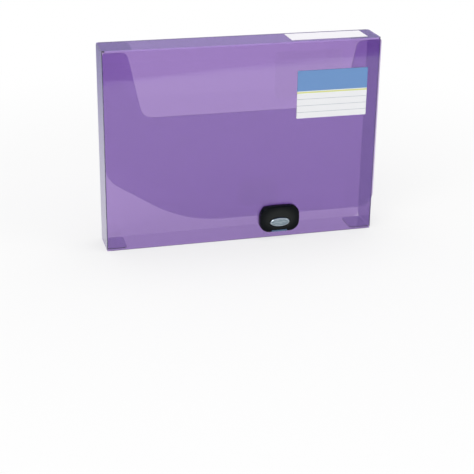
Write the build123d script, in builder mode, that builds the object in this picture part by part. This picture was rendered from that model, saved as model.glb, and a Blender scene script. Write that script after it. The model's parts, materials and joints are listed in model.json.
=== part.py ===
from build123d import *
import os
from math import asin, degrees

# A rigid document case for A4 papers, standing on its long base wall.
# One sheet of clear tinted polypropylene is die cut, creased and folded into a tray
# with a thumb cut, dust flaps, a spine over the mouth and a front flap.
# A moulded clasp on the flap closes over a catch on the front wall.
# Millimetres. The origin is the middle of the base's underside, +Z is up and -Y is the front.

# Outside of the closed case
case_width = 332.0
case_height = 243.0
case_depth = 46.0

# Sheet and folds
sheet = 0.8
fold_radius = 1.4
panel_slit = 0.1
hinge_slit = 0.2
layer_gap = 1.6
lid_gap = 0.4
weld_gap = 0.1
corner_relief = 3.0
lid_corner = 3.0

# Thumb cut in the front wall
ear_gap = 2.2
cut_mouth_width = 275.0
cut_floor_width = 241.0
cut_depth = 77.5
cut_floor_radius = 14.0
ear_radius = 8.0
ear_outer_radius = 2.0

# Dust flaps and base tabs, folded in from the side walls
dust_length = 36.0
dust_corner = 9.0
tuck_gap = 0.6
tab_length = 25.0
tab_setback = 4.0
tab_corner = 5.0

# Front flap, whose lower left corner is cut away
flap_edge_height = 31.0
flap_corner_height = 91.0
flap_cut_width = 94.0
flap_upper_radius = 30.0
flap_lower_radius = 160.0
flap_corner_radius = 18.0

# Clasp cover on the flap
clasp_x = 45.0
cover_width = 50.0
cover_height = 34.2
cover_middle_height = 26.3
cover_bulge = 1.5
cover_corner = 12.0
cover_stand = 6.5
cover_wall = 1.8
cover_skin = 1.6
cover_edge = 2.4
skirt_gap = 0.3
window_gap = 0.8
window_edge = 0.7
notch_width = 21.5
notch_height = 3.5
notch_radius = 1.5

# Posts that hold the cover and the catch through the sheet
cover_post_radius = 2.0
cover_post_spacing = 30.0
cover_post_drop = 6.0
catch_post_radius = 1.5
catch_post_spacing = 35.6
post_fit = 0.1
backing = 1.2
cover_backing_width = 42.0
cover_backing_height = 9.0
catch_backing_width = 43.0
catch_backing_height = 16.0

# Push button and the catch plate that guides it
button_width = 24.0
button_height = 10.6
button_middle_height = 22.3
button_proud = 0.3
button_rim = 1.0
button_dish = 0.4
button_edge = 0.4
collar_step = 1.2
collar_thickness = 1.2
button_gap = 0.3
button_rest_gap = 0.1
catch_width = 42.0
catch_height = 19.0
catch_plate_thickness = 1.2
guide_wall = 1.3
guide_lip = 1.0
guide_stand = 5.8
lip_width = 20.0
lip_stand = 8.0
lip_lift = 0.4
lip_edge = 0.8

# Return spring, a bowed steel leaf in a pocket in the button's back
spring_span = 17.0
spring_width = 4.0
spring_thickness = 0.3
spring_end_gap = 0.1
spring_pocket_gap = 0.8
button_skin = 3.6

# Labels
label_thickness = 0.2
front_label_width = 87.0
front_label_height = 58.0
front_label_side_margin = 15.5
front_label_top_margin = 34.5
spine_label_width = 94.0
spine_label_depth = 32.0
spine_label_side_margin = 14.0
spine_label_y = 1.5

# Faces that the sizes above place
half_width = case_width / 2
back_face = case_depth / 2
flap_face = -case_depth / 2
front_face = flap_face + sheet + layer_gap
back_inside = back_face - sheet
front_inside = front_face + sheet
dust_face = case_height - sheet - lid_gap
tab_face = sheet + weld_gap
ear_top = case_height - sheet - ear_gap
tray_middle_y = (front_face + back_face) / 2
side_fold_middle = (tab_face + dust_face) / 2
side_fold_length = dust_face - tab_face - 2 * (fold_radius + corner_relief)
base_fold_length = case_width - 2 * (fold_radius + corner_relief)
lid_fold_length = case_width - 2 * lid_corner
tuck_depth = back_inside - front_inside - 2 * tuck_gap
tab_depth = tuck_depth - 2 * tab_setback
cover_face = flap_face - cover_stand
cover_bottom = cover_middle_height - cover_height / 2
cover_middle = (clasp_x, cover_middle_height)
cover_posts_middle = (clasp_x, cover_middle_height + cover_height / 2 - cover_post_drop)
button_middle = (clasp_x, button_middle_height)
button_face = cover_face - button_proud
guide_width = button_width + 2 * (collar_step + button_gap)
guide_height = button_height + 2 * (collar_step + button_gap)
collar_back = front_face - guide_stand + guide_lip + button_rest_gap + collar_thickness
spring_seat = button_face + button_skin
spring_foot = front_face - spring_end_gap
spring_crown = spring_seat + spring_end_gap + spring_thickness
lip_bottom = cover_bottom + lip_lift
lip_height = notch_height - 2 * lip_lift
lip_root_height = button_middle_height - catch_height / 2 - lip_bottom
front_label_x = half_width - front_label_side_margin - front_label_width / 2
front_label_top = case_height - front_label_top_margin
spine_label_x = half_width - spine_label_side_margin - spine_label_width / 2

os.makedirs("parts", exist_ok=True)


def save(part, name):
    part.label = name
    export_step(part, f"parts/{name}.step")


def half_fold(edge_middle, outward, normal, length, slit):
    """Curl a panel's edge inwards by 45 degrees, up to the score line of a right-angled fold.

    edge_middle is on the panel's outer face, outward points out of the edge in the panel's plane.
    """
    edge_middle, outward, normal = Vector(edge_middle), Vector(outward), Vector(normal)
    along = normal.cross(outward)
    turn = 45 - degrees(asin(slit / 2 / fold_radius))
    with BuildSketch(Plane(edge_middle - normal * (sheet / 2), along, outward)) as section:
        Rectangle(length, sheet)
    revolve(section.sketch, Axis(edge_middle - normal * fold_radius, along), turn)


def round_corner(outline, place, radius):
    """Round the sketch's corner at a place, found anew, as each fillet renews the corners."""
    fillet(outline.vertices().sort_by_distance(place)[0], radius)


# Back panel, with folds to both side walls, the base wall and the spine
with BuildPart() as back_panel:
    with BuildSketch(Plane.XZ.offset(-back_face)) as back_outline:
        with Locations((0, case_height / 2)):
            Rectangle(case_width - 2 * fold_radius, case_height - 2 * fold_radius)
        fillet(back_outline.vertices().group_by(Axis.Y)[-1], lid_corner - fold_radius)
    extrude(amount=sheet)
    for side in (-1, 1):
        half_fold(
            (side * (half_width - fold_radius), back_face, side_fold_middle),
            (side, 0, 0), (0, 1, 0), side_fold_length, panel_slit,
        )
    half_fold((0, back_face, fold_radius), (0, 0, -1), (0, 1, 0), base_fold_length, panel_slit)
    half_fold(
        (0, back_face, case_height - fold_radius),
        (0, 0, 1), (0, 1, 0), lid_fold_length, hinge_slit,
    )
save(back_panel.part, "back_panel")

# Base wall, across the whole width under the side walls
with BuildPart() as base_wall:
    with BuildSketch(Plane.XY):
        with Locations((0, tray_middle_y)):
            Rectangle(case_width, back_face - front_face - 2 * fold_radius)
    extrude(amount=sheet)
    half_fold(
        (0, back_face - fold_radius, 0), (0, 1, 0), (0, 0, -1), base_fold_length, panel_slit
    )
    half_fold(
        (0, front_face + fold_radius, 0), (0, -1, 0), (0, 0, -1), base_fold_length, panel_slit
    )
save(base_wall.part, "base_wall")

# Front wall, with the thumb cut between two ears and holes for the catch's posts
with BuildPart() as front_wall:
    with BuildSketch(Plane.XZ.offset(-front_face)) as front_outline:
        with Locations((0, (fold_radius + ear_top) / 2)):
            Rectangle(case_width - 2 * fold_radius, ear_top - fold_radius)
        with BuildLine():
            Polyline(
                (-cut_mouth_width / 2, ear_top),
                (-cut_floor_width / 2, ear_top - cut_depth),
                (cut_floor_width / 2, ear_top - cut_depth),
                (cut_mouth_width / 2, ear_top),
                close=True,
            )
        make_face(mode=Mode.SUBTRACT)
        for side in (-1, 1):
            round_corner(
                front_outline, (side * cut_floor_width / 2, ear_top - cut_depth), cut_floor_radius
            )
            round_corner(front_outline, (side * cut_mouth_width / 2, ear_top), ear_radius)
            round_corner(
                front_outline, (side * (half_width - fold_radius), ear_top), ear_outer_radius
            )
        with Locations(button_middle):
            with GridLocations(catch_post_spacing, 0, 2, 1):
                Circle(catch_post_radius + post_fit, mode=Mode.SUBTRACT)
    extrude(amount=-sheet)
    for side in (-1, 1):
        half_fold(
            (side * (half_width - fold_radius), front_face, side_fold_middle),
            (side, 0, 0), (0, -1, 0), side_fold_length, panel_slit,
        )
    half_fold((0, front_face, fold_radius), (0, 0, -1), (0, -1, 0), base_fold_length, panel_slit)
save(front_wall.part, "front_wall")

# Left and right ends: a side wall, its dust flap under the spine and its tab on the base
for hand, side in (("left", -1), ("right", 1)):
    outside = side * half_width
    with BuildPart() as side_wall:
        with BuildSketch(Plane.YZ.offset(outside)):
            with Locations((tray_middle_y, side_fold_middle)):
                Rectangle(
                    back_face - front_face - 2 * fold_radius,
                    dust_face - tab_face - 2 * fold_radius,
                )
        extrude(amount=-side * sheet)
        half_fold(
            (outside, back_face - fold_radius, side_fold_middle),
            (0, 1, 0), (side, 0, 0), side_fold_length, panel_slit,
        )
        half_fold(
            (outside, front_face + fold_radius, side_fold_middle),
            (0, -1, 0), (side, 0, 0), side_fold_length, panel_slit,
        )
        half_fold(
            (outside, tray_middle_y, dust_face - fold_radius),
            (0, 0, 1), (side, 0, 0), tuck_depth, hinge_slit,
        )
        half_fold(
            (outside, tray_middle_y, tab_face + fold_radius),
            (0, 0, -1), (side, 0, 0), tab_depth, panel_slit,
        )
    save(side_wall.part, f"{hand}_side_wall")

    with BuildPart() as dust_flap:
        with BuildSketch(Plane.XY.offset(dust_face)) as dust_outline:
            with Locations((outside - side * (fold_radius + dust_length) / 2, tray_middle_y)):
                Rectangle(dust_length - fold_radius, tuck_depth)
            free_end = dust_outline.vertices().group_by(Axis.X)[-1 if side < 0 else 0]
            fillet(free_end, dust_corner)
        extrude(amount=-sheet)
        half_fold(
            (outside - side * fold_radius, tray_middle_y, dust_face),
            (side, 0, 0), (0, 0, 1), tuck_depth, hinge_slit,
        )
    save(dust_flap.part, f"{hand}_dust_flap")

    with BuildPart() as base_tab:
        with BuildSketch(Plane.XY.offset(tab_face)) as tab_outline:
            with Locations((outside - side * (fold_radius + tab_length) / 2, tray_middle_y)):
                Rectangle(tab_length - fold_radius, tab_depth)
            free_end = tab_outline.vertices().group_by(Axis.X)[-1 if side < 0 else 0]
            fillet(free_end, tab_corner)
        extrude(amount=sheet)
        half_fold(
            (outside - side * fold_radius, tray_middle_y, tab_face),
            (side, 0, 0), (0, 0, -1), tab_depth, panel_slit,
        )
    save(base_tab.part, f"{hand}_base_tab")

# Spine, the lid of the mouth, with a live hinge at each long edge
with BuildPart() as spine_panel:
    with BuildSketch(Plane.XY.offset(case_height)) as spine_outline:
        Rectangle(case_width, case_depth - 2 * fold_radius)
        fillet(spine_outline.vertices(), lid_corner)
    extrude(amount=-sheet)
    half_fold(
        (0, back_face - fold_radius, case_height),
        (0, 1, 0), (0, 0, 1), lid_fold_length, hinge_slit,
    )
    half_fold(
        (0, flap_face + fold_radius, case_height),
        (0, -1, 0), (0, 0, 1), lid_fold_length, hinge_slit,
    )
save(spine_panel.part, "spine_panel")

# Front flap, down to its lower edge under the clasp cover
with BuildPart() as front_flap:
    with BuildSketch(Plane.XZ.offset(-flap_face)) as flap_outline:
        with BuildLine():
            Polyline(
                (-half_width, case_height - fold_radius),
                (-half_width, flap_corner_height),
                (-half_width + flap_cut_width, flap_edge_height),
                (half_width, flap_edge_height),
                (half_width, case_height - fold_radius),
                close=True,
            )
        make_face()
        for side in (-1, 1):
            round_corner(
                flap_outline, (side * half_width, case_height - fold_radius), lid_corner
            )
        round_corner(flap_outline, (-half_width, flap_corner_height), flap_upper_radius)
        round_corner(
            flap_outline, (-half_width + flap_cut_width, flap_edge_height), flap_lower_radius
        )
        round_corner(flap_outline, (half_width, flap_edge_height), flap_corner_radius)
        with Locations(cover_posts_middle):
            with GridLocations(cover_post_spacing, 0, 2, 1):
                Circle(cover_post_radius + post_fit, mode=Mode.SUBTRACT)
    extrude(amount=-sheet)
    half_fold(
        (0, flap_face, case_height - fold_radius),
        (0, 0, 1), (0, -1, 0), lid_fold_length, hinge_slit,
    )
save(front_flap.part, "front_flap")


def cover_outline(inset):
    """The cover's rounded outline with gently bowed sides, drawn about its own middle."""
    across = cover_width / 2 - inset
    up = cover_height / 2 - inset
    corners = [
        (side * (across - cover_bulge), level * (up - cover_bulge))
        for side, level in ((-1, -1), (1, -1), (1, 1), (-1, 1))
    ]
    side_middles = [(0, -up), (across, 0), (0, up), (-across, 0)]
    with BuildSketch() as outline:
        with BuildLine():
            for start, middle, end in zip(corners, side_middles, corners[1:] + corners[:1]):
                ThreePointArc(start, middle, end)
        make_face()
        fillet(outline.vertices(), cover_corner - inset)
    return outline.sketch


# Clasp cover, a moulded cap on the flap's lower edge, open at the back
with BuildPart() as clasp_cover:
    with BuildSketch(Plane.XZ.offset(-flap_face)):
        with Locations(cover_middle):
            add(cover_outline(0))
    extrude(amount=cover_stand)
    fillet(clasp_cover.faces().sort_by(Axis.Y)[0].edges(), cover_edge)
    with BuildSketch(Plane.XZ.offset(-flap_face)):
        with Locations(cover_middle):
            add(cover_outline(cover_wall))
    extrude(amount=cover_stand - cover_skin, mode=Mode.SUBTRACT)
    # Skirt, from below the flap's edge almost to the front wall
    with BuildSketch(Plane.XZ.offset(-flap_face)):
        with Locations(cover_middle):
            add(cover_outline(0))
            add(cover_outline(cover_wall), mode=Mode.SUBTRACT)
        with Locations((clasp_x, flap_edge_height - skirt_gap)):
            Rectangle(
                cover_width, cover_height,
                align=(Align.CENTER, Align.MIN), mode=Mode.SUBTRACT,
            )
    extrude(amount=skirt_gap - sheet - layer_gap)
    # Posts, through the flap and its backing plate
    with BuildSketch(Plane.XZ.offset(-cover_face - cover_skin)):
        with Locations(cover_posts_middle):
            with GridLocations(cover_post_spacing, 0, 2, 1):
                Circle(cover_post_radius)
    extrude(amount=cover_skin - cover_stand - sheet - backing)
    # Window for the button, and the notch that shows the catch's lip
    with BuildSketch(Plane.XZ.offset(-cover_face)):
        with Locations(button_middle):
            Ellipse(button_width / 2 + window_gap, button_height / 2 + window_gap)
    extrude(amount=-cover_skin, mode=Mode.SUBTRACT)
    window_rim = clasp_cover.faces().sort_by(Axis.Y)[0].inner_wires()[0].edges()
    chamfer(window_rim, window_edge)
    with BuildSketch(Plane.XZ.offset(-cover_face)):
        with Locations((clasp_x, cover_bottom)):
            RectangleRounded(notch_width, 2 * notch_height, notch_radius)
    extrude(amount=-cover_stand - sheet - layer_gap, mode=Mode.SUBTRACT)
save(clasp_cover.part, "clasp_cover")

# Backing plate behind the flap, on which the cover's posts are staked
with BuildPart() as clasp_backing_plate:
    with BuildSketch(Plane.XZ.offset(-flap_face - sheet)):
        with Locations(cover_posts_middle):
            SlotOverall(cover_backing_width, cover_backing_height)
            with GridLocations(cover_post_spacing, 0, 2, 1):
                Circle(cover_post_radius + post_fit, mode=Mode.SUBTRACT)
    extrude(amount=-backing)
save(clasp_backing_plate.part, "clasp_backing_plate")

# Catch plate on the front wall, with the button's guide and a lip to pull against
with BuildPart() as catch_plate:
    with BuildSketch(Plane.XZ.offset(-front_face)):
        with Locations(button_middle):
            SlotOverall(catch_width, catch_height)
        with Locations((clasp_x, lip_bottom)):
            Rectangle(lip_width, lip_root_height, align=(Align.CENTER, Align.MIN))
    extrude(amount=catch_plate_thickness)
    with BuildSketch(Plane.XZ.offset(-front_face)):
        with Locations(button_middle):
            Ellipse(guide_width / 2 + guide_wall, guide_height / 2 + guide_wall)
    extrude(amount=guide_stand)
    with BuildSketch(Plane.XZ.offset(-front_face)):
        with Locations((clasp_x, lip_bottom)):
            Rectangle(lip_width, lip_height, align=(Align.CENTER, Align.MIN))
    extrude(amount=lip_stand)
    chamfer(catch_plate.faces().sort_by(Axis.Y)[0].edges(), lip_edge)
    with BuildSketch(Plane.XZ.offset(-front_face)):
        with Locations(button_middle):
            Ellipse(guide_width / 2, guide_height / 2)
    extrude(amount=guide_stand - guide_lip, mode=Mode.SUBTRACT)
    with BuildSketch(Plane.XZ.offset(-front_face)):
        with Locations(button_middle):
            Ellipse(button_width / 2 + button_gap, button_height / 2 + button_gap)
    extrude(amount=guide_stand, mode=Mode.SUBTRACT)
    with BuildSketch(Plane.XZ.offset(-front_face)):
        with Locations(button_middle):
            with GridLocations(catch_post_spacing, 0, 2, 1):
                Circle(catch_post_radius)
    extrude(amount=-sheet - backing)
save(catch_plate.part, "catch_plate")

# Backing plate inside the front wall, on which the catch's posts are staked
with BuildPart() as catch_backing_plate:
    with BuildSketch(Plane.XZ.offset(-front_inside)):
        with Locations(button_middle):
            SlotOverall(catch_backing_width, catch_backing_height)
            with GridLocations(catch_post_spacing, 0, 2, 1):
                Circle(catch_post_radius + post_fit, mode=Mode.SUBTRACT)
    extrude(amount=-backing)
save(catch_backing_plate.part, "catch_backing_plate")

# Push button, with a collar that the guide's lip holds back and a pocket for the spring
with BuildPart() as push_button:
    with BuildSketch(Plane.XZ.offset(-collar_back)):
        with Locations(button_middle):
            Ellipse(button_width / 2 + collar_step, button_height / 2 + collar_step)
    extrude(amount=collar_thickness)
    with BuildSketch(Plane.XZ.offset(-collar_back)):
        with Locations(button_middle):
            Ellipse(button_width / 2, button_height / 2)
    extrude(amount=collar_back - button_face)
    chamfer(push_button.faces().sort_by(Axis.Y)[0].edges(), button_edge)
    with BuildSketch(Plane.XZ.offset(-button_face)):
        with Locations(button_middle):
            Ellipse(button_width / 2 - button_rim, button_height / 2 - button_rim)
    extrude(amount=-button_dish, mode=Mode.SUBTRACT)
    with BuildSketch(Plane.XZ.offset(-collar_back)):
        with Locations(button_middle):
            SlotOverall(
                spring_span + 2 * spring_pocket_gap, spring_width + 2 * spring_pocket_gap
            )
    extrude(amount=collar_back - spring_seat, mode=Mode.SUBTRACT)
save(push_button.part, "push_button")

# Return spring, its feet on the front wall and its crown in the button's pocket
with BuildPart() as button_spring:
    with BuildSketch(Plane.XY.offset(button_middle_height - spring_width / 2)):
        with BuildLine():
            feet = [clasp_x - spring_span / 2, clasp_x + spring_span / 2]
            inner_feet = [feet[0] + spring_thickness, feet[1] - spring_thickness]
            ThreePointArc(
                (feet[0], spring_foot),
                (clasp_x, spring_crown - spring_thickness),
                (feet[1], spring_foot),
            )
            ThreePointArc(
                (inner_feet[0], spring_foot), (clasp_x, spring_crown), (inner_feet[1], spring_foot)
            )
            for outer_foot, inner_foot in zip(feet, inner_feet):
                Line((outer_foot, spring_foot), (inner_foot, spring_foot))
        make_face()
    extrude(amount=spring_width)
save(button_spring.part, "button_spring")

# Paper labels on the flap and on the spine
with BuildPart() as front_label:
    with BuildSketch(Plane.XZ.offset(-flap_face)):
        with Locations((front_label_x, front_label_top - front_label_height / 2)):
            Rectangle(front_label_width, front_label_height)
    extrude(amount=label_thickness)
save(front_label.part, "front_label")

with BuildPart() as spine_label:
    with BuildSketch(Plane.XY.offset(case_height)):
        with Locations((spine_label_x, spine_label_y)):
            Rectangle(spine_label_width, spine_label_depth)
    extrude(amount=label_thickness)
save(spine_label.part, "spine_label")
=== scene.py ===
import json
from math import radians

import bpy
from mathutils import Matrix, Vector


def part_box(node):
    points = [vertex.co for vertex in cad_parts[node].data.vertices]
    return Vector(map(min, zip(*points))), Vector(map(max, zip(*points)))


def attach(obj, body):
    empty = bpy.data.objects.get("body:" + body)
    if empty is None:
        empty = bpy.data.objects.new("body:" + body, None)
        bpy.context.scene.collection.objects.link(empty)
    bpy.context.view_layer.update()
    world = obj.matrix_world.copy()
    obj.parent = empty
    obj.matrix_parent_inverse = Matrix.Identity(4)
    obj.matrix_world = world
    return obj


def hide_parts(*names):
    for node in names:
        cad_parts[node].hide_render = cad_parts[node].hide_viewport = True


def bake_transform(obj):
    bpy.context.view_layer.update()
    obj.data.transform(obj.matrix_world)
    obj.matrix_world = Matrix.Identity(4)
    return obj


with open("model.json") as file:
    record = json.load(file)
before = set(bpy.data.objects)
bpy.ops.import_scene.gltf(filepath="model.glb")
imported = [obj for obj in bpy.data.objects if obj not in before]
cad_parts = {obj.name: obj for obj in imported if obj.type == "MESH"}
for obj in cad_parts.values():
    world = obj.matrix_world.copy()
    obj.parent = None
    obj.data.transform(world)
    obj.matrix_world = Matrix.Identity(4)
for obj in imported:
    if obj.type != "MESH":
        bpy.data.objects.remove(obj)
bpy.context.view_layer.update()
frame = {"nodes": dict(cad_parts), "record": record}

# Millimetres, for sizes of patterns and pieces that are given as on a drawing
MM = 0.001

# Sheet: its dye, how much light a metre of it takes, its polished skin, the long waves that the
# rolls leave, and the smears of handling
SHEET_DYE = "A452D2"
SHEET_DENSITY = 950.0
SHEET_IOR = 1.49
SHEET_COAT = 0.6
WAVE_WIDTH = 10 * MM
WAVE_STRETCH = 0.12
WAVE_DEPTH = 0.03 * MM
SMEAR_WIDTH = 18 * MM

# Mouldings: the tool's grain, the patches that handling leaves, how far out from its middle the
# clasp's painted highlight reaches, the button's collar, rim and brushing, and the rolls' lines on
# the spring
GRAIN_WIDTH = 0.4 * MM
HANDLED_WIDTH = 9 * MM
HANDLED_CHANGE = 0.06
HIGHLIGHT_MIDDLE = 0.45
BUTTON_COLLAR = 1.2 * MM
BUTTON_RIM = 1.0 * MM
BRUSH_ANGLE = 24
BRUSH_WIDTH = 10 * MM
BRUSH_FINENESS = 7
BRUSH_DEPTH = 0.006 * MM
ROLL_LINE_WIDTH = 4 * MM
ROLL_LINE_FINENESS = 20
ROLL_LINE_DEPTH = 0.003 * MM

# Labels: the paper's fibres, its worn corners, and the gap that keeps it off the clear sheet
FIBRE_WIDTH = 0.8 * MM
FIBRE_DEPTH = 0.01 * MM
LABEL_CORNER = 0.5 * MM
LABEL_BEVEL_STEPS = 4
GLUE = 0.01 * MM

# Print on the front label, measured from the label's top edge, from the band and from its foot
PRINT_WHITE = "F1F2F4"
PRINT_BAND = 25 * MM
PRINT_BLEED = 1 * MM
YELLOW_LINE_TOP = 0.8 * MM
YELLOW_LINE_FOOT = 2.6 * MM
RULED_LINES = 3
RULED_LINE_FOOT = 7 * MM
RULED_LINE_SPACING = 8 * MM
RULED_LINE_WIDTH = 0.5 * MM

# Creases: the dye and density of the skin that paints the side folds' dark line as painted
# shade, the folds' size in the sheet, and the skin's own
CREASE_SHADE_DYE = "7A48D6"
CREASE_SHADE_DENSITY = 65000.0
CREASE_RADIUS = 1.4 * MM
CREASE_LIFT = 0.005 * MM
CREASE_SKIN = 0.03 * MM
CREASE_STEPS = 12
CREASE_SMOOTH_ANGLE = 20
MERGE_DISTANCE = 0.001 * MM
SIDE_CREASE_LENGTH = 232.1 * MM
SIDE_CREASE_REACH = 2.5 * MM
SIDE_CREASE_BEND = 60
HINGE_LENGTH = 326.0 * MM
HINGE_BEND = 90
BACK_HINGE_REACH = 0.2 * MM
FRONT_HINGE_REACH = 0.1 * MM
CRAZE_WIDTH = 1.5 * MM
CRAZE_DEPTH = 0.01 * MM

# Camera, at the photograph's angle and distance
CAMERA_PLACE = Vector((-0.3637, -1.3397, 0.5733))
CAMERA_RIGHT = Vector((0.9666, -0.2561, 0.0128))
CAMERA_UP = Vector((0.0871, 0.3748, 0.9230))
CAMERA_LENS = 92.11
CAMERA_SENSOR = 36.0

# Studio: the floor, and the studio that the gloss mirrors. The table's edges are metres along
# TABLE_DEPTHWISE, away from the camera, and SWEEP_TOP and DIM_FROM are the heights of a direction,
# from 0 for level to 1 for straight up.
FLOOR_SIZE = 30.0
FLOOR_PALE = "F4F4F4"
FLOOR_SHADOW_SHARE = 0.35
FLOOR_FADE_START = 0.30
FLOOR_FADE_END = 0.85
TABLE_DEPTHWISE = Vector((0.172, 0.985, 0.0))
TABLE_FRONT_EDGE = -0.79
TABLE_LIT_FROM = -0.74
TABLE_LIT_TO = -0.60
TABLE_BACK_EDGE = 1.60
DARK_BEFORE_TABLE = 0.04
DIM_BEHIND_TABLE = 0.40
SURROUND_STRENGTH = 0.62
SWEEP_TOP = 0.03
DIM_FROM = 0.20
DIM_CEILING = 0.51
FAR_STUDIO_COOL = "ABABFF"
SOFTBOXES = (
    ("key_softbox", (-1.1, -1.5, 1.9), 1.3, 17.0),
    ("fill_softbox", (1.6, -1.1, 1.2), 1.2, 6.0),
    ("top_softbox", (0.1, 0.3, 2.2), 1.4, 11.0),
)
AIM = Vector((0.0, 0.0, 0.12))

# Enough light paths for a ray that crosses every layer of the case
LIGHT_PATHS = 32


def linear(hex_code):
    """An sRGB hex colour as the linear RGBA that the shaders take."""
    parts = [int(hex_code[i:i + 2], 16) / 255 for i in (0, 2, 4)]
    return [c / 12.92 if c <= 0.04045 else ((c + 0.055) / 1.055) ** 2.4 for c in parts] + [1.0]


def node(tree, kind, sockets=None, **settings):
    """Add a shader node, set its own settings, and give its inputs a value or a link each."""
    made = tree.nodes.new("ShaderNode" + kind)
    for name, value in settings.items():
        setattr(made, name, value)
    for key, value in (sockets or {}).items():
        if isinstance(value, bpy.types.NodeSocket):
            tree.links.new(value, made.inputs[key])
        else:
            made.inputs[key].default_value = value
    return made


def new_material(name):
    """An empty material, its node tree, and its output node."""
    material = bpy.data.materials.new(name)
    material.use_nodes = True
    material.node_tree.nodes.clear()
    return material, material.node_tree, node(material.node_tree, "OutputMaterial")


# Sheet

def dyed_polypropylene(name, dye_hex, density):
    """Extruded polypropylene sheet, dyed violet in the melt, die cut and folded.

    The dye shows by depth: one layer is pale, three are deep, and the cut edges are darkest.
    The rolls leave a polished skin that mirrors strongly, with long shallow waves along the
    sheet, and handling leaves a faint haze.
    Laid far denser as a skin along the side folds, it paints the dark line of a crease there as
    painted shade.
    """
    material, tree, output = new_material(name)
    place = node(tree, "TexCoord").outputs["Object"]
    along_rolls = node(tree, "Mapping", {"Vector": place, "Scale": (WAVE_STRETCH, WAVE_STRETCH, 1.0)})
    waves = node(
        tree, "TexNoise",
        {"Vector": along_rolls.outputs["Vector"], "Scale": 1 / WAVE_WIDTH, "Detail": 2.0,
         "Roughness": 0.4},
    )
    ripple = node(
        tree, "Bump",
        {"Height": waves.outputs["Fac"], "Strength": 1.0, "Distance": WAVE_DEPTH},
    )
    smears = node(
        tree, "TexNoise",
        {"Vector": place, "Scale": 1 / SMEAR_WIDTH, "Detail": 6.0, "Roughness": 0.62},
    )
    haze = node(
        tree, "MapRange",
        {"Value": smears.outputs["Fac"], "From Min": 0.35, "From Max": 0.75,
         "To Min": 0.02, "To Max": 0.06},
    )
    gloss = node(
        tree, "BsdfPrincipled",
        {"Base Color": linear("FFFFFF"), "Roughness": haze.outputs["Result"], "IOR": SHEET_IOR,
         "Transmission Weight": 1.0, "Coat Weight": SHEET_COAT, "Coat Roughness": 0.03,
         "Normal": ripple.outputs["Normal"], "Coat Normal": ripple.outputs["Normal"]},
    )
    light = node(tree, "LightPath")
    clear = node(tree, "BsdfTransparent", {"Color": linear("FAFAFA")})
    soft_light = node(
        tree, "MixShader",
        {"Fac": light.outputs["Is Diffuse Ray"], 1: gloss.outputs[0], 2: clear.outputs[0]},
    )
    surface = node(
        tree, "MixShader",
        {"Fac": light.outputs["Is Shadow Ray"], 1: soft_light.outputs[0], 2: clear.outputs[0]},
    )
    dye = node(tree, "VolumeAbsorption", {"Color": linear(dye_hex), "Density": density})
    tree.links.new(surface.outputs[0], output.inputs["Surface"])
    tree.links.new(dye.outputs[0], output.inputs["Volume"])
    return material


# Mouldings

def moulded_abs(name, hex_code, highlight_hex, roughness, grain, sheen, highlight_sheen):
    """ABS, injection moulded in a tool with a fine spark-eroded grain of the given depth.

    The grain breaks the gloss up softly. The clasp's middle is painted lighter and given a higher
    specular level than its rim, a painted highlight of its domed front.
    """
    material, tree, output = new_material(name)
    place = node(tree, "TexCoord").outputs["Object"]
    pits = node(
        tree, "TexNoise",
        {"Vector": place, "Scale": 1 / GRAIN_WIDTH, "Detail": 3.0, "Roughness": 0.6},
    )
    bump = node(
        tree, "Bump", {"Height": pits.outputs["Fac"], "Strength": 1.0, "Distance": grain}
    )
    handled = node(
        tree, "TexNoise", {"Vector": place, "Scale": 1 / HANDLED_WIDTH, "Detail": 4.0}
    )
    wear = node(
        tree, "MapRange",
        {"Value": handled.outputs["Fac"], "From Min": 0.3, "From Max": 0.7,
         "To Min": roughness - HANDLED_CHANGE, "To Max": roughness + HANDLED_CHANGE},
    )
    low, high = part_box("clasp_cover")
    middle, half = (low + high) / 2, (high - low) / 2
    from_middle = node(
        tree, "Mapping",
        {"Vector": place, "Location": (-middle.x / half.x, 0, -middle.z / half.z),
         "Scale": (1 / half.x, 0, 1 / half.z)},
    )
    out = node(tree, "VectorMath", {0: from_middle.outputs["Vector"]}, operation="LENGTH")
    # Painted highlight: lighter colour and more sheen towards the clasp's middle, its base colour at
    # the rim.
    painted_highlight_mask = node(
        tree, "MapRange",
        {"Value": out.outputs["Value"], "From Min": HIGHLIGHT_MIDDLE, "From Max": 1.0,
         "To Min": 1.0, "To Max": 0.0},
        interpolation_type="SMOOTHSTEP",
    )
    colour = node(
        tree, "Mix",
        {0: painted_highlight_mask.outputs["Result"], 6: linear(hex_code), 7: linear(highlight_hex)}, data_type="RGBA",
    )
    shine = node(
        tree, "MapRange",
        {"Value": painted_highlight_mask.outputs["Result"], "To Min": sheen, "To Max": highlight_sheen},
    )
    skin = node(
        tree, "BsdfPrincipled",
        {"Base Color": colour.outputs[2], "Roughness": wear.outputs["Result"], "IOR": 1.53,
         "Specular IOR Level": shine.outputs["Result"], "Normal": bump.outputs["Normal"]},
    )
    tree.links.new(skin.outputs[0], output.inputs["Surface"])
    return material


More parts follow.
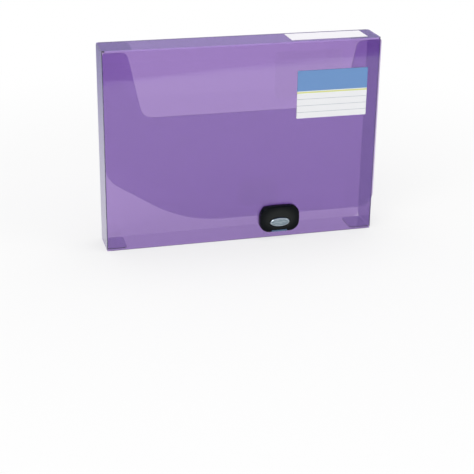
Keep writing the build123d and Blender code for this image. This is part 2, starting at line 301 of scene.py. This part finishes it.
def plated_abs():
    """ABS with a satin silver plating: a polished rim, painted brighter as a painted highlight, round
    a dish that is brushed aslant.

    The brushing draws the dish's glints out and dulls it against the rim's painted highlight. Its
    hairs are drawn far coarser than real ones, as coarse as they need to be to show.
    """
    material, tree, output = new_material("satin_silver_plating")
    place = node(tree, "TexCoord").outputs["Object"]
    low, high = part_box("push_button")
    middle = (low + high) / 2
    border = BUTTON_COLLAR + BUTTON_RIM
    half = (high - low) / 2 - Vector((border, 0, border))
    ellipse = node(
        tree, "Mapping",
        {"Vector": place, "Location": (-middle.x / half.x, 0, -middle.z / half.z),
         "Scale": (1 / half.x, 0, 1 / half.z)},
    )
    out = node(tree, "VectorMath", {0: ellipse.outputs["Vector"]}, operation="LENGTH")
    dish = node(tree, "Math", {0: out.outputs["Value"], 1: 1.0}, operation="LESS_THAN")
    aslant = node(
        tree, "Mapping",
        {"Vector": place, "Rotation": (0, radians(BRUSH_ANGLE), 0), "Scale": (1, 1, BRUSH_FINENESS)},
    )
    hairs = node(
        tree, "TexNoise",
        {"Vector": aslant.outputs["Vector"], "Scale": 1 / BRUSH_WIDTH, "Detail": 4.0,
         "Roughness": 0.6},
    )
    strokes = node(
        tree, "MapRange", {"Value": hairs.outputs["Fac"], "From Min": 0.36, "From Max": 0.64}
    )
    brushed = node(
        tree, "Mix",
        {0: strokes.outputs["Result"], 6: linear("6C808A"), 7: linear("B9C7CC")}, data_type="RGBA",
    )
    # Outside the dish the rim is painted a brighter silver, a painted highlight of its chamfer; its
    # lower roughness is real polish.
    colour = node(
        tree, "Mix",
        {0: dish.outputs[0], 6: linear("C6D2D6"), 7: brushed.outputs[2]}, data_type="RGBA",
    )
    gloss = node(tree, "MapRange", {"Value": dish.outputs[0], "To Min": 0.20, "To Max": 0.38})
    bump = node(
        tree, "Bump",
        {"Height": hairs.outputs["Fac"], "Strength": 1.0, "Distance": BRUSH_DEPTH},
    )
    metal = node(
        tree, "BsdfPrincipled",
        {"Base Color": colour.outputs[2], "Metallic": 1.0, "Roughness": gloss.outputs["Result"],
         "Normal": bump.outputs["Normal"]},
    )
    tree.links.new(metal.outputs[0], output.inputs["Surface"])
    return material


def spring_steel():
    """Cold-rolled spring steel strip, with the fine lines of the rolls along it."""
    material, tree, output = new_material("rolled_spring_steel")
    place = node(tree, "TexCoord").outputs["Object"]
    along = node(tree, "Mapping", {"Vector": place, "Scale": (1, 1, ROLL_LINE_FINENESS)})
    lines = node(
        tree, "TexNoise",
        {"Vector": along.outputs["Vector"], "Scale": 1 / ROLL_LINE_WIDTH, "Detail": 3.0},
    )
    bump = node(
        tree, "Bump",
        {"Height": lines.outputs["Fac"], "Strength": 1.0, "Distance": ROLL_LINE_DEPTH},
    )
    metal = node(
        tree, "BsdfPrincipled",
        {"Base Color": linear("B5B7B9"), "Metallic": 1.0, "Roughness": 0.34,
         "Normal": bump.outputs["Normal"]},
    )
    tree.links.new(metal.outputs[0], output.inputs["Surface"])
    return material


# Labels

def label_paper(name, printing=None):
    """Self-adhesive label paper: matt, faintly fibrous, with a slight coating sheen.

    printing, if there is one, gives the colour of what is printed on it.
    """
    material, tree, output = new_material(name)
    place = node(tree, "TexCoord").outputs["Object"]
    fibres = node(
        tree, "TexNoise",
        {"Vector": place, "Scale": 1 / FIBRE_WIDTH, "Detail": 5.0, "Roughness": 0.7},
    )
    bump = node(
        tree, "Bump",
        {"Height": fibres.outputs["Fac"], "Strength": 1.0, "Distance": FIBRE_DEPTH},
    )
    paper = node(
        tree, "BsdfPrincipled",
        {"Base Color": linear("F6F4F7"), "Roughness": 0.5, "IOR": 1.45,
         "Normal": bump.outputs["Normal"]},
    )
    if printing:
        tree.links.new(printing(tree, place), paper.inputs["Base Color"])
    tree.links.new(paper.outputs[0], output.inputs["Surface"])
    return material


def front_label_print(tree, place):
    """A blue header band over a thin yellow line and three ruled lines, printed on the front only."""
    low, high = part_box("front_label")
    axes = node(tree, "SeparateXYZ", {"Vector": place})
    height = axes.outputs["Z"]

    def stripe(below, bottom, top, hex_code):
        """Print one colour over another between two heights on the label."""
        above = node(tree, "Math", {0: height, 1: bottom}, operation="GREATER_THAN")
        under = node(tree, "Math", {0: height, 1: top}, operation="LESS_THAN")
        both = node(tree, "Math", {0: above.outputs[0], 1: under.outputs[0]}, operation="MULTIPLY")
        mixed = node(
            tree, "Mix", {0: both.outputs[0], 6: below, 7: linear(hex_code)}, data_type="RGBA"
        )
        return mixed.outputs[2]

    band_foot = high.z - PRINT_BAND
    colour = stripe(linear(PRINT_WHITE), band_foot, high.z + PRINT_BLEED, "6E97CB")
    colour = stripe(colour, band_foot - YELLOW_LINE_FOOT, band_foot - YELLOW_LINE_TOP, "DCE192")
    for line in range(RULED_LINES):
        foot = low.z + RULED_LINE_FOOT + line * RULED_LINE_SPACING
        colour = stripe(colour, foot, foot + RULED_LINE_WIDTH, "B9BEC6")
    front = node(
        tree, "Math", {0: axes.outputs["Y"], 1: (low.y + high.y) / 2}, operation="LESS_THAN"
    )
    side = node(
        tree, "Mix", {0: front.outputs[0], 6: linear(PRINT_WHITE), 7: colour}, data_type="RGBA"
    )
    return side.outputs[2]


FINISHES = {
    "tinted_sheet": dyed_polypropylene("violet_polypropylene_sheet", SHEET_DYE, SHEET_DENSITY),
    # For the clasp and catch, the second colour and the last number paint the clasp's middle lighter
    # and glossier, a painted highlight.
    "clasp_black": moulded_abs("black_abs", "04080C", "111614", 0.20, 0.003 * MM, 0.10, 0.24),
    # The catch's slate grey is its own colour, tinted bluer as a painted blue reflection.
    "catch_grey": moulded_abs("slate_abs_painted_bluer", "5B779A", "5F7899", 0.36, 0.008 * MM, 0.35, 0.35),
    "button_silver": plated_abs(),
    "spring_steel": spring_steel(),
    "printed_label": label_paper("printed_label_paper", front_label_print),
    "paper_label": label_paper("blank_label_paper"),
}
for subpart in frame["record"]["subparts"]:
    piece = frame["nodes"][subpart["node"]]
    piece.data.materials.clear()
    piece.data.materials.append(FINISHES[subpart["material_slot"]])

# The side walls take the sheet's dye at twice the density, though they are one sheet in thickness:
# this paints them darker and deeper, a painted shade on the case's sides.
shaded_side_sheet = dyed_polypropylene("side_shade_polypropylene_sheet", SHEET_DYE, 2 * SHEET_DENSITY)
for hand in ("left", "right"):
    wall = frame["nodes"][f"{hand}_side_wall"]
    wall.data.materials.clear()
    wall.data.materials.append(shaded_side_sheet)


# Label pieces

def label_piece(node_name, slot_name, body, thickness_axis, glued_low, glued_high):
    """Cut a label with its corners just rounded by wear, in place of the plain CAD one.

    Its glued face keeps a hair off the clear sheet, which would otherwise flicker over it.
    """
    low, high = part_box(node_name)
    low, high = low + Vector(glued_low), high + Vector(glued_high)
    bpy.ops.object.select_all(action="DESELECT")
    bpy.ops.mesh.primitive_cube_add(size=1, location=(low + high) / 2)
    label = bpy.context.object
    label.name = node_name + "_paper"
    bpy.ops.object.mode_set(mode="EDIT")
    bpy.ops.transform.resize(value=high - low)
    bpy.ops.mesh.select_all(action="DESELECT")
    bpy.ops.object.mode_set(mode="OBJECT")
    points = label.data.vertices
    for edge in label.data.edges:
        span = points[edge.vertices[0]].co - points[edge.vertices[1]].co
        edge.select = abs(span[thickness_axis]) > span.length / 2
    bpy.ops.object.mode_set(mode="EDIT")
    bpy.ops.mesh.select_mode(type="EDGE")
    bpy.ops.mesh.bevel(offset=LABEL_CORNER, segments=LABEL_BEVEL_STEPS, affect="EDGES")
    bpy.ops.object.mode_set(mode="OBJECT")
    bpy.ops.object.transform_apply(location=True, rotation=True, scale=True)
    label.data.materials.append(FINISHES[slot_name])
    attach(label, body)
    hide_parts(node_name)


label_piece("front_label", "printed_label", "flap", 1, (0, 0, 0), (0, -GLUE, 0))
label_piece("spine_label", "paper_label", "spine", 2, (0, 0, GLUE), (0, 0, 0))


# Creases

def hinged_sheet(name, hex_code, cover):
    """Polypropylene where a live hinge has been pressed or stretched, so that it scatters light.

    The back hinge is pressed greyish, and the front one has paled by bending and is painted paler
    still, a painted highlight along its fold. cover is the share of the clear sheet that the
    scattering hides.
    """
    material, tree, output = new_material(name)
    place = node(tree, "TexCoord").outputs["Object"]
    crazing = node(
        tree, "TexNoise",
        {"Vector": place, "Scale": 1 / CRAZE_WIDTH, "Detail": 4.0, "Roughness": 0.6},
    )
    bump = node(
        tree, "Bump", {"Height": crazing.outputs["Fac"], "Strength": 1.0, "Distance": CRAZE_DEPTH}
    )
    skin = node(
        tree, "BsdfPrincipled",
        {"Base Color": linear(hex_code), "Roughness": 0.4, "IOR": SHEET_IOR, "Alpha": cover,
         "Specular IOR Level": 0.3, "Normal": bump.outputs["Normal"]},
    )
    tree.links.new(skin.outputs[0], output.inputs["Surface"])
    return material


def crease_band(name, finish, fold, first, second, length, first_reach, bend, second_reach):
    """Lay a thin skin round a fold, from the flat of one panel towards that of the next.

    fold is the middle of the fold's axis, first and second are the panels' outward normals, and
    bend is how many degrees of the fold the skin goes round.
    """
    inside = CREASE_RADIUS + CREASE_LIFT
    bpy.ops.object.select_all(action="DESELECT")
    bpy.ops.mesh.primitive_plane_add(size=1, location=(0, 0, 0))
    band = bpy.context.object
    band.name = name
    bpy.ops.object.mode_set(mode="EDIT")
    bpy.ops.transform.resize(value=(length, CREASE_SKIN, 1))
    bpy.ops.transform.translate(value=(0, -(inside + CREASE_SKIN / 2), -first_reach))
    bpy.ops.mesh.extrude_region_move(TRANSFORM_OT_translate={"value": (0, 0, first_reach)})
    bpy.ops.mesh.spin(steps=CREASE_STEPS, angle=radians(bend), center=(0, 0, 0), axis=(1, 0, 0))
    if second_reach:
        bpy.ops.mesh.extrude_region_move(TRANSFORM_OT_translate={"value": (0, second_reach, 0)})
    bpy.ops.mesh.select_all(action="SELECT")
    bpy.ops.mesh.remove_doubles(threshold=MERGE_DISTANCE)
    bpy.ops.mesh.normals_make_consistent(inside=False)
    bpy.ops.object.mode_set(mode="OBJECT")
    first, second = Vector(first), Vector(second)
    turn = Matrix((second.cross(first), -first, second)).transposed()
    band.data.transform(Matrix.Translation(Vector(fold)) @ turn.to_4x4())
    band.data.materials.append(finish)
    bpy.ops.object.shade_smooth_by_angle(angle=radians(CREASE_SMOOTH_ANGLE))
    return band


# This skin, far denser and bluer than the sheet, paints the dark line along the side folds: painted
# shade.
painted_crease_shade = dyed_polypropylene("crease_shade_polypropylene", CREASE_SHADE_DYE, CREASE_SHADE_DENSITY)
grey_hinge = hinged_sheet("pressed_polypropylene_hinge", "9A8CB0", 0.4)
# The front hinge's pale skin is partly the whitening of bending and partly a painted highlight along
# the fold.
pale_highlight_hinge = hinged_sheet("stretched_highlit_polypropylene_hinge", "B597DC", 0.6)

half_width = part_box("base_wall")[1].x
front_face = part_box("front_wall")[0].y
flap_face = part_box("front_flap")[0].y
back_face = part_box("back_panel")[1].y
lid_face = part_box("spine_panel")[1].z
fold_middle = (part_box("left_side_wall")[0].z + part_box("left_side_wall")[1].z) / 2
for hand, side in (("left", -1), ("right", 1)):
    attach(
        crease_band(
            f"front_{hand}_crease", painted_crease_shade,
            (side * (half_width - CREASE_RADIUS), front_face + CREASE_RADIUS, fold_middle),
            (side, 0, 0), (0, -1, 0), SIDE_CREASE_LENGTH, SIDE_CREASE_REACH, SIDE_CREASE_BEND, 0,
        ),
        "case",
    )


def live_hinge(name, finish, face, facing, reach):
    """The band of a hinge along the spine, laid round its fold.

    face is the outside of the panel that hinges on the spine, and facing is its way along Y.
    The band reaches as far on to the panel as on to the spine.
    """
    fold = Vector((0, face - facing * CREASE_RADIUS, lid_face - CREASE_RADIUS))
    band = crease_band(
        name, finish, fold, (0, facing, 0), (0, 0, 1), HINGE_LENGTH, reach, HINGE_BEND, reach
    )
    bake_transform(band)


live_hinge("spine_live_hinge", grey_hinge, back_face, 1, BACK_HINGE_REACH)
live_hinge("flap_live_hinge", pale_highlight_hinge, flap_face, -1, FRONT_HINGE_REACH)


# Studio: floor, light and camera

def seen_rays(tree, light):
    """1 for a ray that shows the background, be it straight, mirrored or through the clear sheet."""
    mirrored = node(
        tree, "Math",
        {0: light.outputs["Is Camera Ray"], 1: light.outputs["Is Glossy Ray"]},
        operation="MAXIMUM",
    )
    seen = node(
        tree, "Math", {0: mirrored.outputs[0], 1: light.outputs["Is Transmission Ray"]},
        operation="MAXIMUM",
    )
    return seen.outputs[0]


def reflected_rays(tree, light):
    """1 for a ray that comes straight off a glossy face, 0 for one that came through the sheet."""
    not_through = node(
        tree, "Math", {0: 1.0, 1: light.outputs["Is Transmission Ray"]}, operation="SUBTRACT"
    )
    reflected = node(
        tree, "Math", {0: light.outputs["Is Glossy Ray"], 1: not_through.outputs[0]},
        operation="MULTIPLY",
    )
    return reflected.outputs[0]


def mirrored_tone(tree, nearness):
    """White where the gloss mirrors what is near, and cooler the dimmer and farther it is."""
    tone = node(
        tree, "Mix", {0: nearness, 6: linear(FAR_STUDIO_COOL), 7: linear("FFFFFF")},
        data_type="RGBA",
    )
    return tone.outputs[2]


def studio_floor():
    """A pale floor that keeps a light shadow near the case and fades to plain white around it.

    The gloss mirrors it as far as the table's front edge, where the dark studio begins, and
    mirrors it dimmer and cooler towards the back.
    """
    bpy.ops.mesh.primitive_plane_add(size=FLOOR_SIZE, location=(0, 0, 0))
    floor = bpy.context.object
    floor.name = "studio_floor"
    material, tree, output = new_material("pale_studio_floor")
    place = node(tree, "TexCoord").outputs["Object"]
    away = node(tree, "VectorMath", {0: place}, operation="LENGTH")
    fade = node(
        tree, "MapRange",
        {"Value": away.outputs["Value"], "From Min": FLOOR_FADE_START, "From Max": FLOOR_FADE_END,
         "To Min": 1 - FLOOR_SHADOW_SHARE, "To Max": 1.0},
        interpolation_type="SMOOTHSTEP",
    )
    light = node(tree, "LightPath")
    white_share = node(
        tree, "Math", {0: seen_rays(tree, light), 1: fade.outputs["Result"]}, operation="MULTIPLY"
    )
    depth = node(tree, "VectorMath", {0: place, 1: TABLE_DEPTHWISE}, operation="DOT_PRODUCT")
    behind = node(
        tree, "MapRange",
        {"Value": depth.outputs["Value"], "From Min": TABLE_LIT_TO, "From Max": TABLE_BACK_EDGE,
         "To Min": 1.0, "To Max": DIM_BEHIND_TABLE},
        interpolation_type="SMOOTHSTEP",
    )
    table = node(
        tree, "MapRange",
        {"Value": depth.outputs["Value"], "From Min": TABLE_FRONT_EDGE,
         "From Max": TABLE_LIT_FROM, "To Min": DARK_BEFORE_TABLE, "To Max": behind.outputs["Result"]},
        interpolation_type="SMOOTHSTEP",
    )
    strength = node(
        tree, "MapRange",
        {"Value": reflected_rays(tree, light), "To Min": 1.0, "To Max": table.outputs["Result"]},
    )
    matt = node(tree, "BsdfDiffuse", {"Color": linear(FLOOR_PALE)})
    pale = node(
        tree, "Emission",
        {"Color": mirrored_tone(tree, strength.outputs["Result"]),
         "Strength": strength.outputs["Result"]},
    )
    mixed = node(
        tree, "MixShader",
        {"Fac": white_share.outputs[0], 1: matt.outputs[0], 2: pale.outputs[0]},
    )
    tree.links.new(mixed.outputs[0], output.inputs["Surface"])
    floor.data.materials.append(material)


def studio_surround():
    """A plain white surround behind the case, and a soft one as light.

    The gloss mirrors a white sweep that gives way to the dimmer, cooler studio above it.
    """
    world = bpy.data.worlds.new("studio_surround")
    bpy.context.scene.world = world
    world.use_nodes = True
    tree = world.node_tree
    tree.nodes.clear()
    light = node(tree, "LightPath")
    direction = node(tree, "SeparateXYZ", {"Vector": node(tree, "TexCoord").outputs["Generated"]})
    sweep = node(
        tree, "MapRange",
        {"Value": direction.outputs["Z"], "From Min": SWEEP_TOP, "From Max": DIM_FROM,
         "To Min": 1.0, "To Max": DIM_CEILING},
        interpolation_type="SMOOTHSTEP",
    )
    plain = node(
        tree, "MapRange",
        {"Value": seen_rays(tree, light), "To Min": SURROUND_STRENGTH, "To Max": 1.0},
    )
    strength = node(
        tree, "MapRange",
        {"Value": reflected_rays(tree, light), "To Min": plain.outputs["Result"],
         "To Max": sweep.outputs["Result"]},
    )
    nearness = node(
        tree, "MapRange",
        {"Value": reflected_rays(tree, light), "To Min": 1.0, "To Max": sweep.outputs["Result"]},
    )
    pale = node(
        tree, "Background",
        {"Color": mirrored_tone(tree, nearness.outputs["Result"]),
         "Strength": strength.outputs["Result"]},
    )
    output = node(tree, "OutputWorld")
    tree.links.new(pale.outputs[0], output.inputs["Surface"])


def softbox(name, place, width, power):
    """A square soft light that faces the case."""
    lamp = bpy.data.lights.new(name, "AREA")
    lamp.size = width
    lamp.energy = power
    holder = bpy.data.objects.new(name, lamp)
    bpy.context.scene.collection.objects.link(holder)
    holder.location = place
    holder.rotation_euler = (AIM - holder.location).to_track_quat("-Z", "Y").to_euler()


bpy.ops.object.select_all(action="DESELECT")
studio_floor()
studio_surround()
for name, place, width, power in SOFTBOXES:
    softbox(name, place, width, power)

camera = bpy.data.objects.new("camera", bpy.data.cameras.new("camera"))
bpy.context.scene.collection.objects.link(camera)
camera.data.lens = CAMERA_LENS
camera.data.sensor_width = CAMERA_SENSOR
facing = Matrix((CAMERA_RIGHT, CAMERA_UP, CAMERA_RIGHT.cross(CAMERA_UP))).transposed()
camera.matrix_world = Matrix.Translation(CAMERA_PLACE) @ facing.to_4x4()
bpy.context.scene.camera = camera
bpy.context.scene.view_settings.view_transform = "Standard"

bpy.context.scene.cycles.max_bounces = LIGHT_PATHS
bpy.context.scene.cycles.transmission_bounces = LIGHT_PATHS
bpy.context.scene.cycles.transparent_max_bounces = LIGHT_PATHS
